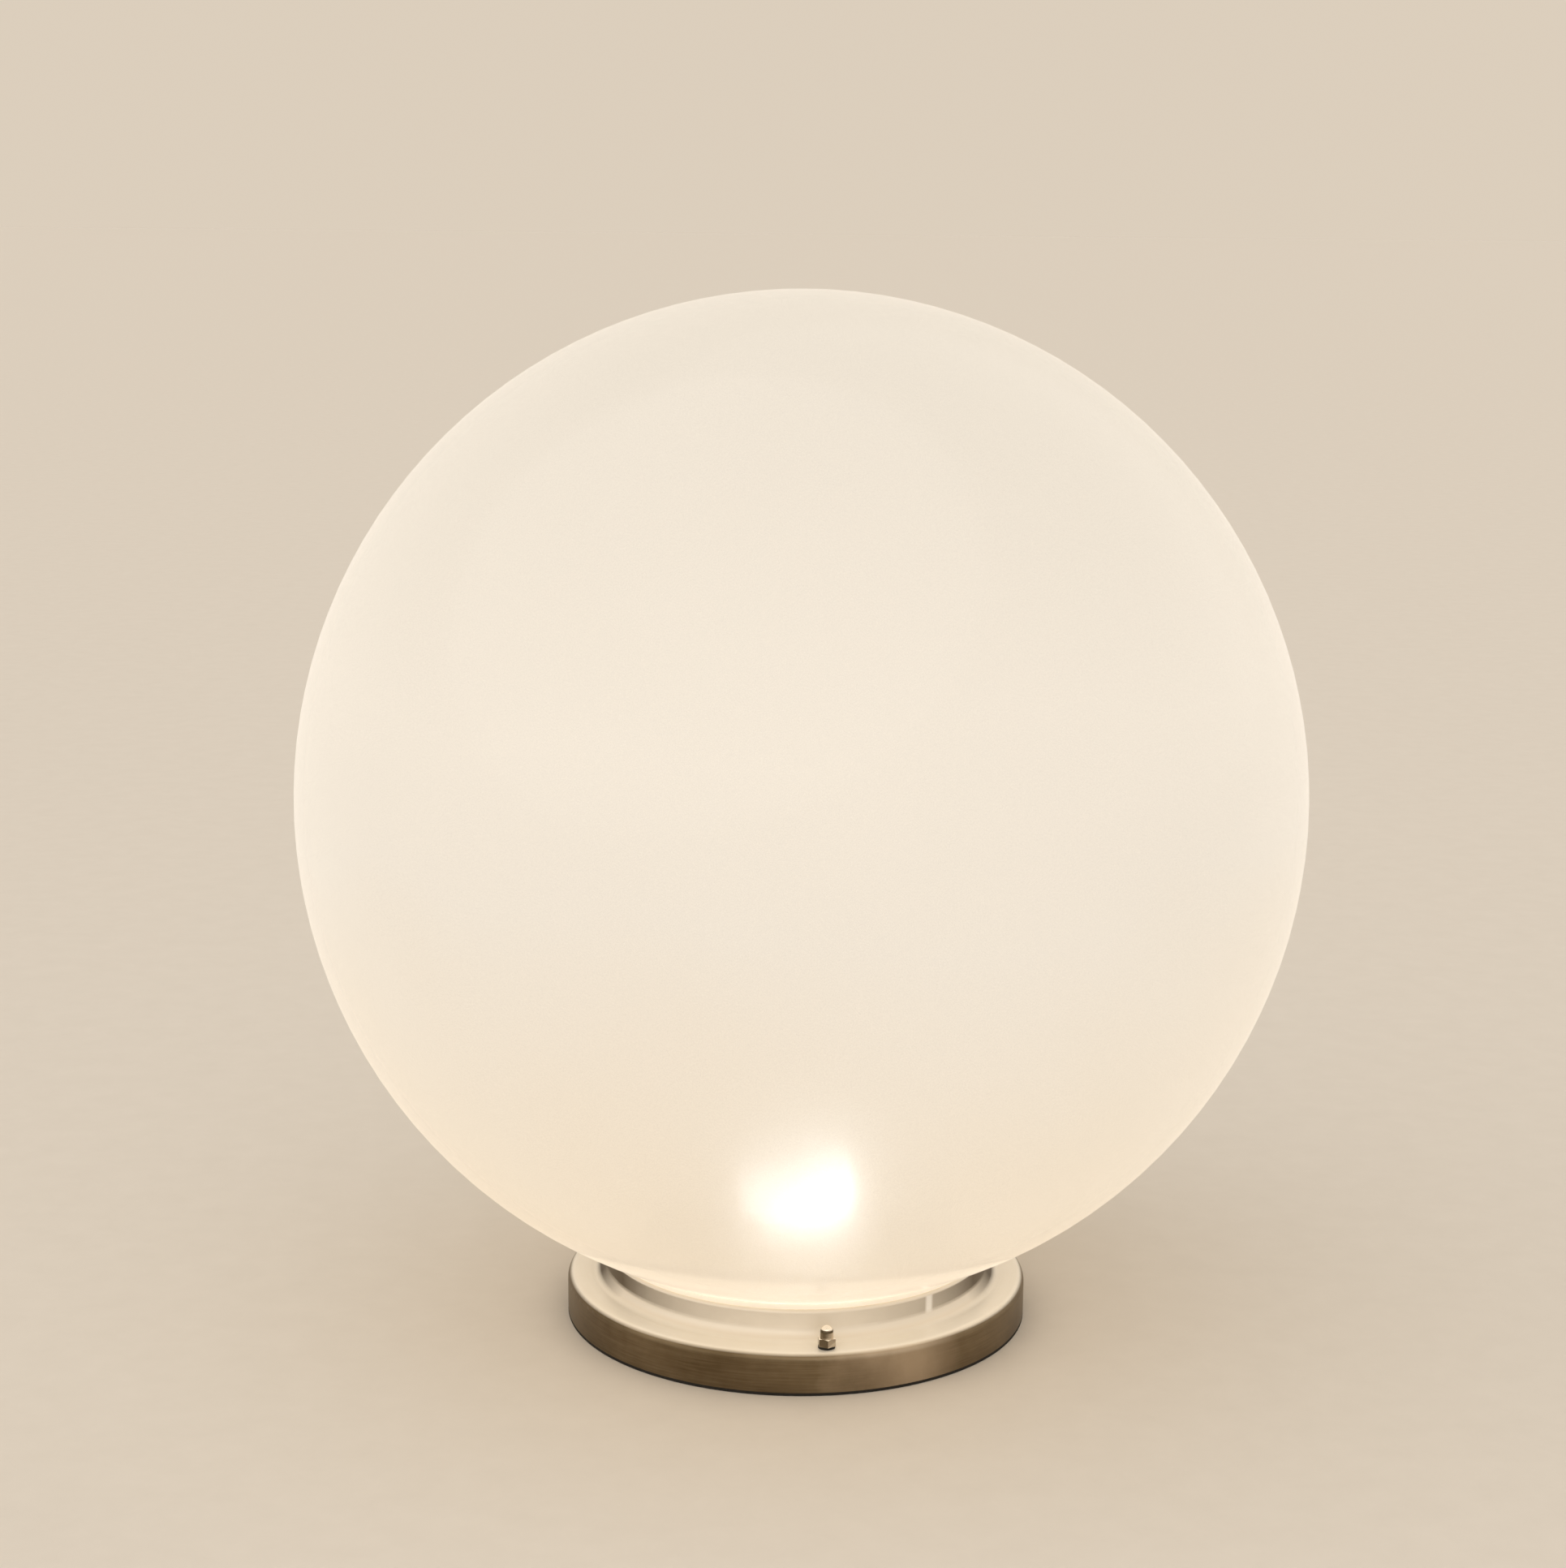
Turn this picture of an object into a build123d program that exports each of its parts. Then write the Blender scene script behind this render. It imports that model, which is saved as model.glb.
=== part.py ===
from build123d import *

import os
from math import radians, sqrt, tan

# Garden globe light: an opal ball on a low spun steel base, with its lampholder, lamp and wiring.
# Millimetres, +Z up. The origin is the centre of the base, on the ground.

os.makedirs("parts", exist_ok=True)

# ---- fits ----
slip_gap = 0.1            # a shaft in its hole
hole_gap = 0.25           # a screw in a clearance hole
wire_gap = 0.2            # a wire or screw tip in a terminal
running_gap = 0.3         # between pieces that move past each other

# ---- heads of all screws, as shares of the head's radius or height ----
slot_width = 0.28
slot_depth = 0.9
head_edge = 0.35          # upright part below the dome

# ---- globe ----
globe_radius = 250.0
globe_wall = 3.0
neck_gap = 0.9            # between the neck and the seal inside the collar
neck_depth = 13.8         # from the collar's top down to the neck's end

# ---- base cover and collar ----
sheet = 1.5
skirt_radius = 117.5
rim_bend = 4.0
land_height = 21.0
land_width = 9.2          # flat ring that carries the nuts
cove_bend = 6.0
collar_foot = 1.0         # flat edge of the collar, welded to the land
collar_height = 35.8
lip_bend = 2.0
lip_width = 2.5           # flat top of the collar, past its bend

# ---- floor gasket and mounting plate ----
gasket_thickness = 1.4
gasket_width = 14.5
plate_thickness = 2.0
plate_edge_gap = 1.5      # between the plate and the skirt
anchor_radius = 3.25
anchor_count = 3
anchor_inset = 14.5       # from the gasket's bore to the anchor circle
anchor_turn = 30.0        # from a clip to the next anchor, degrees

# ---- studs, sleeves, cap nuts and washers ----
fixing_count = 3
fixing_angle = -82.0      # the nut that faces the front, a little to the right
stud_radius = 2.5
stud_reach = 6.5          # into the cap nut
stud_head_radius = 4.5
stud_head_height = 1.0
sleeve_wall = 1.9
washer_radius = 4.15
washer_thickness = 1.2
nut_width = 8.0           # across flats
nut_hex_height = 4.0
nut_height = 10.0
nut_dome_radius = 3.2
nut_crown_angle = 30.0    # turned corners at the top of the hexagon

# ---- globe seal ----
seal_thickness = 1.8      # on the collar's lip, where the globe rests
seal_overhang = 1.0       # past the lip's flat, towards the outside
seal_hook = 0.8           # wall of the part that hangs inside the lip
seal_hook_depth = 1.2     # below the lip's sheet

# ---- neck clips ----
clip_count = 3
clip_angle = -90.0
clip_sheet = 0.8
clip_width = 14.0
clip_foot = 16.0
clip_rise = 23.0          # from the foot up to the crest that holds the neck
clip_slope = 4.5          # how far the crest stands out past the bend
clip_tail = 8.0
clip_bend = 1.6
rivet_radius = 1.6
rivet_head_radius = 2.8
rivet_head_height = 1.1
rivet_pitch = 7.0
rivet_tail = 1.0

# ---- lampholder ----
holder_radius = 19.5
holder_height = 36.0
holder_floor = 4.6
flange_edge = 0.8         # outside the screw heads
flange_thickness = 3.0
shell_radius = 14.4
shell_sheet = 0.5
shell_height = 27.0
shell_ridge = 0.5
shell_tab = 4.0           # turned-in foot of the shell
mouth_fillet = 1.5
contact_level = 11.4      # underside of the lamp's contact
leaf_sheet = 0.6
leaf_width = 5.0
leaf_length = 10.0
leaf_bend = 1.0
holder_terminal_size = 5.0
holder_terminal_height = 6.0
holder_terminal_spread = 8.0
holder_terminal_offset = 22.4

# ---- lamp ----
thread_pitch = 3.629
thread_turns = 5
thread_root = 12.1
thread_crest = 13.1
cap_sheet = 0.5
cap_rim = 3.0             # plain part of the cap above the thread
lamp_length = 82.0
dome_radius = 30.0
dome_wall = 1.2
dome_drop = 11.5          # from the diffuser's centre down to its mouth
button_radius = 4.6
button_height = 1.4
insulator_foot = 5.2
insulator_height = 5.0
insulator_plug = 2.0      # inside the cap
housing_wall = 1.6
housing_plug = 5.0        # inside the cap
housing_bulge = 1.2       # of the flared side, past a straight cone
board_ledge = 2.0
board_thickness = 1.6
board_radius = 22.5
chip_count = 12
chip_circle = 15.0
chip_size = 3.0
chip_height = 0.7
driver_width = 17.0
driver_height = 26.0
driver_thickness = 1.2
capacitor_radius = 4.0
capacitor_length = 12.0
capacitor_drop = 6.0      # below the light board

# ---- terminal block ----
pole_pitch = 10.0
block_length = 33.0
block_depth = 17.0
block_height = 13.0
block_corner = 1.5
block_offset = 52.5
insert_radius = 2.5
insert_bore = 1.6
insert_level = 6.5        # centre of the inserts above the plate
clamp_spread = 4.5        # terminal screws from the middle of each pole
clamp_radius = 1.25
clamp_head_radius = 1.8
clamp_head_height = 1.2
block_screw_radius = 1.4
block_screw_head_radius = 2.3
block_screw_head_height = 1.6
block_screw_seat = 4.0    # depth of the sunk seats

# ---- M4 screws of the holder and the earth tag ----
main_screw_radius = 2.0
main_head_radius = 3.5
main_head_height = 2.4
screw_tail = 1.2          # screw ends below the plate

# ---- wiring and inlet ----
wire_radius = 1.1
wire_entry = 3.0          # length of a wire inside its terminal
wire_bend = 2.6
wire_slack = 2.2          # sideways bow of the short leads
wire_turns = (0.28, 0.52, 0.76)     # their turns, as shares of the way to the block
earth_turns = (0.64, 0.4, 0.45)     # the same for the earth lead
earth_arch = 3.0          # rise of the earth lead
tag_place = (41.0, 12.0)
tag_radius = 4.0
tag_sheet = 0.8
tag_barrel_radius = 1.9
tag_barrel_length = 8.0
cable_radius = 4.5
inlet_gap = 5.9           # between the terminal block and the grommet
grommet_wall = 3.4
grommet_flange = 2.2      # past the hole, above and below the plate
grommet_flange_height = 1.2
grommet_nose = 3.0

# ---- heights and places that follow ----
plate_top = gasket_thickness + plate_thickness
plate_radius = skirt_radius - sheet - plate_edge_gap
gasket_bore = skirt_radius - gasket_width
anchor_circle = gasket_bore - anchor_inset
anchor_angle = clip_angle + anchor_turn
land_inner = skirt_radius - rim_bend - land_width
collar_radius = land_inner - cove_bend
seam_radius = land_inner + collar_foot
land_middle = land_inner + land_width / 2
lip_radius = collar_radius - lip_bend - lip_width
seat_radius = collar_radius - lip_bend
seat_height = collar_height + seal_thickness + running_gap
globe_centre = seat_height + sqrt(globe_radius**2 - seat_radius**2)
neck_radius = lip_radius - slip_gap - seal_hook - neck_gap
neck_bore = neck_radius - globe_wall
neck_end = collar_height - neck_depth
nut_base = land_height + washer_thickness

holder_seat = plate_top + holder_floor
holder_top = plate_top + holder_height
flange_top = plate_top + flange_thickness
holder_screw_offset = holder_radius + main_head_radius + hole_gap
flange_radius = holder_screw_offset + main_head_radius + flange_edge
insulator_base = contact_level + button_height
thread_bottom = insulator_base + insulator_height
thread_top = thread_bottom + thread_turns * thread_pitch
cap_top = thread_top + cap_rim
lamp_top = contact_level + lamp_length
dome_centre = lamp_top - dome_radius
dome_bottom = dome_centre - dome_drop
dome_mouth = sqrt(dome_radius**2 - dome_drop**2)
dome_inner = dome_radius - dome_wall
cap_bore = thread_root - cap_sheet

block_front = block_offset - block_depth / 2
insert_height = plate_top + insert_level
terminal_height = flange_top + holder_terminal_height / 2
terminal_face = holder_terminal_offset + holder_terminal_size / 2
tag_barrel_height = plate_top + slip_gap + tag_barrel_radius
tag_barrel_start = tag_place[1] + tag_radius
tag_mouth = tag_barrel_start + tag_barrel_length
clip_radius = sqrt((neck_bore - running_gap) ** 2 - (clip_width / 2) ** 2)
foot_end = clip_radius - clip_slope
foot_middle = foot_end - clip_bend - clip_foot / 2
block_top = plate_top + block_height
grommet_radius = cable_radius + grommet_wall
cable_offset = block_offset + block_depth / 2 + inlet_gap + grommet_radius + grommet_flange
board_base = dome_bottom - board_thickness


def screw(head_radius, head_height, shank_radius, shank_length):
    """Slotted screw, pointing down, with the underside of its head at height 0."""
    with BuildPart() as body:
        with BuildSketch(Plane.XZ):
            with BuildLine():
                sides = Polyline(
                    (0, -shank_length),
                    (shank_radius, -shank_length),
                    (shank_radius, 0),
                    (head_radius, 0),
                    (head_radius, head_height * head_edge),
                )
                dome = TangentArc((0, head_height), sides @ 1, tangent=(1, 0))
                Line(dome @ 0, sides @ 0)
            make_face()
        revolve(axis=Axis.Z)
        with Locations((0, 0, head_height)):
            Box(2 * head_radius, head_radius * slot_width, head_height * slot_depth, mode=Mode.SUBTRACT)
    return body.part


def wire(*points):
    """Insulated wire along straight runs joined by arcs."""
    with BuildPart() as lead:
        with BuildLine() as route:
            FilletPolyline(*points, radius=wire_bend)
        with BuildSketch(Plane(route.line @ 0, z_dir=route.line % 0)):
            Circle(wire_radius)
        sweep()
    return lead.part


def rivet(bottom, top):
    """Rivet through sheets from height bottom to height top: flat tail, domed head."""
    with BuildPart() as body:
        with BuildSketch(Plane.XZ):
            with BuildLine():
                sides = Polyline(
                    (0, bottom - rivet_tail),
                    (rivet_head_radius, bottom - rivet_tail),
                    (rivet_head_radius, bottom),
                    (rivet_radius, bottom),
                    (rivet_radius, top),
                    (rivet_head_radius, top),
                )
                dome = TangentArc((0, top + rivet_head_height), sides @ 1, tangent=(1, 0))
                Line(dome @ 0, sides @ 0)
            make_face()
        revolve(axis=Axis.Z)
    return body.part


# ---- floor gasket: flat rubber ring under the skirt and the plate's edge ----
with BuildPart() as floor_gasket:
    with BuildSketch():
        Circle(skirt_radius)
        Circle(gasket_bore, mode=Mode.SUBTRACT)
        with PolarLocations(land_middle, fixing_count, start_angle=fixing_angle):
            Circle(stud_head_radius + hole_gap, mode=Mode.SUBTRACT)
    extrude(amount=gasket_thickness)
floor_gasket.part.label = "floor_gasket"
export_step(floor_gasket.part, "parts/floor_gasket.step")

# ---- mounting plate: steel disc with holes for anchors, studs, screws, rivets and the cable ----
with BuildPart() as mounting_plate:
    with BuildSketch(Plane.XY.offset(gasket_thickness)):
        Circle(plate_radius)
        with PolarLocations(land_middle, fixing_count, start_angle=fixing_angle):
            Circle(stud_radius + slip_gap, mode=Mode.SUBTRACT)
        with PolarLocations(anchor_circle, anchor_count, start_angle=anchor_angle):
            Circle(anchor_radius, mode=Mode.SUBTRACT)
        with Locations((holder_screw_offset, 0), (-holder_screw_offset, 0)):
            Circle(main_screw_radius + slip_gap, mode=Mode.SUBTRACT)
        with Locations((pole_pitch / 2, block_offset), (-pole_pitch / 2, block_offset)):
            Circle(block_screw_radius + slip_gap, mode=Mode.SUBTRACT)
        with Locations(tag_place):
            Circle(main_screw_radius + slip_gap, mode=Mode.SUBTRACT)
        with Locations((0, cable_offset)):
            Circle(grommet_radius, mode=Mode.SUBTRACT)
        with PolarLocations(foot_middle, clip_count, start_angle=clip_angle):
            with GridLocations(0, rivet_pitch, 1, 2):
                Circle(rivet_radius + slip_gap, mode=Mode.SUBTRACT)
    extrude(amount=plate_thickness)
mounting_plate.part.label = "mounting_plate"
export_step(mounting_plate.part, "parts/mounting_plate.step")

# ---- stud bolts: flat heads under the plate, shanks up into the cap nuts ----
with BuildPart() as stud_bolts:
    with BuildSketch(Plane.XY.offset(gasket_thickness - stud_head_height)):
        with PolarLocations(land_middle, fixing_count, start_angle=fixing_angle):
            Circle(stud_head_radius)
    extrude(amount=stud_head_height)
    with BuildSketch(Plane.XY.offset(gasket_thickness)):
        with PolarLocations(land_middle, fixing_count, start_angle=fixing_angle):
            Circle(stud_radius)
    extrude(amount=nut_base + stud_reach - gasket_thickness)
stud_bolts.part.label = "stud_bolts"
export_step(stud_bolts.part, "parts/stud_bolts.step")

# ---- spacer sleeves: carry the cover's land above the plate ----
with BuildPart() as spacer_sleeves:
    with BuildSketch(Plane.XY.offset(plate_top)):
        with PolarLocations(land_middle, fixing_count, start_angle=fixing_angle):
            Circle(stud_radius + slip_gap + sleeve_wall)
            Circle(stud_radius + slip_gap, mode=Mode.SUBTRACT)
    extrude(amount=land_height - sheet - plate_top)
spacer_sleeves.part.label = "spacer_sleeves"
export_step(spacer_sleeves.part, "parts/spacer_sleeves.step")

# ---- base cover: spun sheet, from the skirt over the rim to the weld in the land ----
with BuildPart() as base_cover:
    with BuildSketch(Plane.XZ):
        with BuildLine():
            cover_outside = FilletPolyline(
                (skirt_radius, gasket_thickness),
                (skirt_radius, land_height),
                (seam_radius, land_height),
                radius=rim_bend,
            )
            cover_inside = FilletPolyline(
                (skirt_radius - sheet, gasket_thickness),
                (skirt_radius - sheet, land_height - sheet),
                (seam_radius, land_height - sheet),
                radius=rim_bend - sheet,
            )
            Line(cover_outside @ 0, cover_inside @ 0)
            Line(cover_outside @ 1, cover_inside @ 1)
        make_face()
    revolve(axis=Axis.Z)
    with BuildSketch(Plane.XY.offset(land_height)):
        with PolarLocations(land_middle, fixing_count, start_angle=fixing_angle):
            Circle(stud_radius + hole_gap)
    extrude(amount=-sheet, mode=Mode.SUBTRACT)
base_cover.part.label = "base_cover"
export_step(base_cover.part, "parts/base_cover.step")

# ---- base collar: spun sheet, from the weld through the cove up to the lip ----
with BuildPart() as base_collar:
    with BuildSketch(Plane.XZ):
        with BuildLine():
            collar_outside = FilletPolyline(
                (seam_radius, land_height),
                (collar_radius, land_height),
                (collar_radius, collar_height),
                (lip_radius, collar_height),
                radius=[cove_bend, lip_bend],
            )
            collar_inside = FilletPolyline(
                (seam_radius, land_height - sheet),
                (collar_radius - sheet, land_height - sheet),
                (collar_radius - sheet, collar_height - sheet),
                (lip_radius, collar_height - sheet),
                radius=[cove_bend + sheet, lip_bend - sheet],
            )
            Line(collar_outside @ 0, collar_inside @ 0)
            Line(collar_outside @ 1, collar_inside @ 1)
        make_face()
    revolve(axis=Axis.Z)
base_collar.part.label = "base_collar"
export_step(base_collar.part, "parts/base_collar.step")

# ---- nut washers: black rubber, under the cap nuts ----
with BuildPart() as nut_washers:
    with BuildSketch(Plane.XY.offset(land_height)):
        with PolarLocations(land_middle, fixing_count, start_angle=fixing_angle):
            Circle(washer_radius)
            Circle(stud_radius + slip_gap, mode=Mode.SUBTRACT)
    extrude(amount=washer_thickness)
nut_washers.part.label = "nut_washers"
export_step(nut_washers.part, "parts/nut_washers.step")

# ---- cap nuts: hexagon with a corner to the front, and a tall round cap ----
with BuildPart() as cap_nuts:
    with BuildSketch(Plane.XY.offset(nut_base)):
        with PolarLocations(land_middle, fixing_count, start_angle=fixing_angle):
            RegularPolygon(nut_width / 2, 6, major_radius=False)
    extrude(amount=nut_hex_height)
    with BuildSketch(Plane.XZ):
        with BuildLine():
            Polyline(
                (nut_width / 2, nut_base + nut_hex_height),
                (nut_width, nut_base + nut_hex_height),
                (nut_width, nut_base + nut_hex_height - nut_width / 2 * tan(radians(nut_crown_angle))),
                close=True,
            )
        make_face()
    crown_cut = revolve(axis=Axis.Z, mode=Mode.PRIVATE)
    with PolarLocations(land_middle, fixing_count, start_angle=fixing_angle):
        add(crown_cut, mode=Mode.SUBTRACT)
    with BuildSketch(Plane.XZ):
        with BuildLine():
            side = Line(
                (nut_dome_radius, nut_base), (nut_dome_radius, nut_base + nut_height - nut_dome_radius)
            )
            cap = RadiusArc(side @ 1, (0, nut_base + nut_height), -nut_dome_radius)
            Polyline(cap @ 1, (0, nut_base), side @ 0)
        make_face()
    round_cap = revolve(axis=Axis.Z, mode=Mode.PRIVATE)
    with PolarLocations(land_middle, fixing_count, start_angle=fixing_angle):
        add(round_cap)
    with BuildSketch(Plane.XY.offset(nut_base)):
        with PolarLocations(land_middle, fixing_count, start_angle=fixing_angle):
            Circle(stud_radius + slip_gap)
    extrude(amount=stud_reach + slip_gap, mode=Mode.SUBTRACT)
cap_nuts.part.label = "cap_nuts"
export_step(cap_nuts.part, "parts/cap_nuts.step")

# ---- globe seal: translucent ring that hooks into the lip and carries the globe's shoulder ----
with BuildPart() as globe_seal:
    with BuildSketch(Plane.XZ):
        with BuildLine():
            Polyline(
                (lip_radius - slip_gap - seal_hook, collar_height + seal_thickness + lip_bend),
                (lip_radius - slip_gap - seal_hook, collar_height - sheet - seal_hook_depth),
                (lip_radius - slip_gap, collar_height - sheet - seal_hook_depth),
                (lip_radius - slip_gap, collar_height),
                (seat_radius + seal_overhang, collar_height),
                (seat_radius + seal_overhang, collar_height + seal_thickness + lip_bend),
                close=True,
            )
        make_face()
    revolve(axis=Axis.Z)
    with Locations((0, 0, globe_centre)):
        Sphere(globe_radius + running_gap, mode=Mode.SUBTRACT)
globe_seal.part.label = "globe_seal"
export_step(globe_seal.part, "parts/globe_seal.step")

# ---- globe: hollow ball with a round opening at the bottom ----
with BuildPart() as globe:
    with BuildSketch(Plane.XZ):
        with Locations((0, globe_centre)):
            Circle(globe_radius)
            Circle(globe_radius - globe_wall, mode=Mode.SUBTRACT)
        Rectangle(2 * neck_bore, globe_centre, align=(Align.CENTER, Align.MIN), mode=Mode.SUBTRACT)
        split(bisect_by=Plane.YZ)
    revolve(axis=Axis.Z)
globe.part.label = "globe"
export_step(globe.part, "parts/globe.step")

# ---- globe neck: tube that hangs from the edge of the opening ----
with BuildPart() as globe_neck:
    with BuildSketch(Plane.XY.offset(neck_end)):
        Circle(neck_radius)
        Circle(neck_bore, mode=Mode.SUBTRACT)
    extrude(amount=seat_height)
    with Locations((0, 0, globe_centre)):
        Sphere(globe_radius, mode=Mode.SUBTRACT)
globe_neck.part.label = "globe_neck"
export_step(globe_neck.part, "parts/globe_neck.step")

# ---- neck clips: bent leaf springs that press outwards on the inside of the neck ----
with BuildPart() as neck_clips:
    with BuildSketch(Plane.XZ):
        with BuildLine():
            leaf = FilletPolyline(
                (foot_end - clip_bend - clip_foot, plate_top + clip_sheet / 2),
                (foot_end, plate_top + clip_sheet / 2),
                (clip_radius - clip_sheet / 2, plate_top + clip_rise),
                (foot_end, plate_top + clip_rise + clip_tail),
                radius=clip_bend,
            )
            offset(amount=clip_sheet / 2)
        make_face()
    clip = extrude(amount=clip_width / 2, both=True, mode=Mode.PRIVATE)
    with PolarLocations(0, clip_count, start_angle=clip_angle):
        add(clip)
    with BuildSketch(Plane.XY.offset(plate_top)):
        with PolarLocations(foot_middle, clip_count, start_angle=clip_angle):
            with GridLocations(0, rivet_pitch, 1, 2):
                Circle(rivet_radius + slip_gap)
    extrude(amount=clip_sheet, mode=Mode.SUBTRACT)
neck_clips.part.label = "neck_clips"
export_step(neck_clips.part, "parts/neck_clips.step")

# ---- clip rivets: domed heads on the clips' feet, flat tails under the plate ----
clip_rivet = rivet(gasket_thickness, plate_top + clip_sheet)
with BuildPart() as clip_rivets:
    with PolarLocations(foot_middle, clip_count, start_angle=clip_angle):
        with GridLocations(0, rivet_pitch, 1, 2):
            add(clip_rivet)
clip_rivets.part.label = "clip_rivets"
export_step(clip_rivets.part, "parts/clip_rivets.step")

# ---- lampholder body: insulating cup on a round flange ----
with BuildPart() as lampholder_body:
    with BuildSketch(Plane.XY.offset(plate_top)):
        Circle(flange_radius)
        with Locations((holder_screw_offset, 0), (-holder_screw_offset, 0)):
            Circle(main_screw_radius + hole_gap, mode=Mode.SUBTRACT)
    extrude(amount=flange_thickness)
    with BuildSketch(Plane.XY.offset(plate_top)):
        Circle(holder_radius)
    extrude(amount=holder_height)
    mouth = lampholder_body.edges().filter_by(GeomType.CIRCLE).sort_by(Axis.Z)[-1]
    fillet(mouth, mouth_fillet)
    with BuildSketch(Plane.XY.offset(holder_top)):
        Circle(shell_radius + slip_gap)
    extrude(amount=-(holder_top - holder_seat), mode=Mode.SUBTRACT)
lampholder_body.part.label = "lampholder_body"
export_step(lampholder_body.part, "parts/lampholder_body.step")

# ---- lampholder shell: threaded sleeve with a turned-in foot ----
with BuildPart() as lampholder_shell:
    with BuildSketch(Plane.XZ):
        with Locations((shell_radius - shell_sheet, holder_seat)):
            Rectangle(shell_sheet, shell_height, align=Align.MIN)
        with Locations((shell_radius - shell_tab, holder_seat)):
            Rectangle(shell_tab, shell_sheet, align=Align.MIN)
        thread_start = thread_bottom + thread_pitch / 2
        for turn in range(thread_turns - 1):
            with Locations((shell_radius - shell_sheet, thread_start + turn * thread_pitch)):
                Circle(shell_ridge)
        with Locations((shell_radius, holder_seat)):
            Rectangle(2 * shell_ridge, shell_height, align=Align.MIN, mode=Mode.SUBTRACT)
    revolve(axis=Axis.Z)
lampholder_shell.part.label = "lampholder_shell"
export_step(lampholder_shell.part, "parts/lampholder_shell.step")

# ---- lampholder contact: leaf spring under the lamp's contact ----
with BuildPart() as lampholder_contact:
    with BuildSketch(Plane.XZ):
        with BuildLine():
            FilletPolyline(
                (leaf_length / 2, holder_seat + leaf_sheet / 2),
                (-leaf_length / 2, holder_seat + leaf_sheet / 2),
                (-leaf_length / 2, contact_level - running_gap - leaf_sheet / 2),
                (leaf_length / 2 - leaf_bend, contact_level - running_gap - leaf_sheet / 2),
                radius=leaf_bend,
            )
            offset(amount=leaf_sheet / 2)
        make_face()
    extrude(amount=leaf_width / 2, both=True)
lampholder_contact.part.label = "lampholder_contact"
export_step(lampholder_contact.part, "parts/lampholder_contact.step")

# ---- holder screws ----
holder_screw = screw(
    main_head_radius, main_head_height, main_screw_radius,
    flange_thickness + plate_thickness + screw_tail,
)
with BuildPart() as holder_screws:
    with Locations((holder_screw_offset, 0, flange_top), (-holder_screw_offset, 0, flange_top)):
        add(holder_screw)
holder_screws.part.label = "holder_screws"
export_step(holder_screws.part, "parts/holder_screws.step")

# ---- holder terminals: brass blocks on the flange, with a screw over each wire hole ----
with BuildPart() as holder_terminals:
    with BuildSketch(Plane.XY.offset(flange_top)):
        with Locations((0, holder_terminal_offset)):
            with GridLocations(2 * holder_terminal_spread, 0, 2, 1):
                Rectangle(holder_terminal_size, holder_terminal_size)
    extrude(amount=holder_terminal_height)
    with BuildSketch(Plane.XZ.offset(-terminal_face)):
        with Locations((0, terminal_height)):
            with GridLocations(2 * holder_terminal_spread, 0, 2, 1):
                Circle(wire_radius + wire_gap)
    extrude(amount=holder_terminal_size, mode=Mode.SUBTRACT)
    with BuildSketch(Plane.XY.offset(terminal_height)):
        with Locations((0, holder_terminal_offset)):
            with GridLocations(2 * holder_terminal_spread, 0, 2, 1):
                Circle(clamp_radius + slip_gap)
    extrude(amount=holder_terminal_height, mode=Mode.SUBTRACT)
holder_terminals.part.label = "holder_terminals"
export_step(holder_terminals.part, "parts/holder_terminals.step")

holder_clamp = screw(
    clamp_head_radius, clamp_head_height, clamp_radius,
    holder_terminal_height / 2 - wire_radius - wire_gap,
)
with BuildPart() as holder_terminal_screws:
    with Locations((0, holder_terminal_offset, flange_top + holder_terminal_height)):
        with GridLocations(2 * holder_terminal_spread, 0, 2, 1):
            add(holder_clamp)
holder_terminal_screws.part.label = "holder_terminal_screws"
export_step(holder_terminal_screws.part, "parts/holder_terminal_screws.step")

# ---- terminal block: nylon body with three poles ----
with BuildPart() as terminal_block:
    with BuildSketch(Plane.XY.offset(plate_top)):
        with Locations((0, block_offset)):
            RectangleRounded(block_length, block_depth, block_corner)
    extrude(amount=block_height)
    with BuildSketch(Plane.XZ.offset(-block_front)):
        with Locations((0, insert_height)):
            with GridLocations(pole_pitch, 0, 3, 1):
                Circle(insert_radius + slip_gap)
    extrude(amount=-block_depth, mode=Mode.SUBTRACT)
    with BuildSketch(Plane.XY.offset(block_top)):
        with Locations((0, block_offset)):
            with GridLocations(pole_pitch, 2 * clamp_spread, 3, 2):
                Circle(clamp_head_radius + wire_gap)
    extrude(amount=-(block_height - insert_level), mode=Mode.SUBTRACT)
    with BuildSketch(Plane.XY.offset(block_top)):
        with Locations((0, block_offset)):
            with GridLocations(pole_pitch, 0, 2, 1):
                Circle(block_screw_head_radius + wire_gap)
    extrude(amount=-block_screw_seat, mode=Mode.SUBTRACT)
    with BuildSketch(Plane.XY.offset(plate_top)):
        with Locations((0, block_offset)):
            with GridLocations(pole_pitch, 0, 2, 1):
                Circle(block_screw_radius + slip_gap)
    extrude(amount=block_height, mode=Mode.SUBTRACT)
terminal_block.part.label = "terminal_block"
export_step(terminal_block.part, "parts/terminal_block.step")

# ---- terminal inserts: brass tubes with two screw holes each ----
with BuildPart() as terminal_inserts:
    with BuildSketch(Plane.XZ.offset(-block_front)):
        with Locations((0, insert_height)):
            with GridLocations(pole_pitch, 0, 3, 1):
                Circle(insert_radius)
                Circle(insert_bore, mode=Mode.SUBTRACT)
    extrude(amount=-block_depth)
    with BuildSketch(Plane.XY.offset(insert_height)):
        with Locations((0, block_offset)):
            with GridLocations(pole_pitch, 2 * clamp_spread, 3, 2):
                Circle(clamp_radius + slip_gap)
    extrude(amount=insert_radius, mode=Mode.SUBTRACT)
terminal_inserts.part.label = "terminal_inserts"
export_step(terminal_inserts.part, "parts/terminal_inserts.step")

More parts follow.
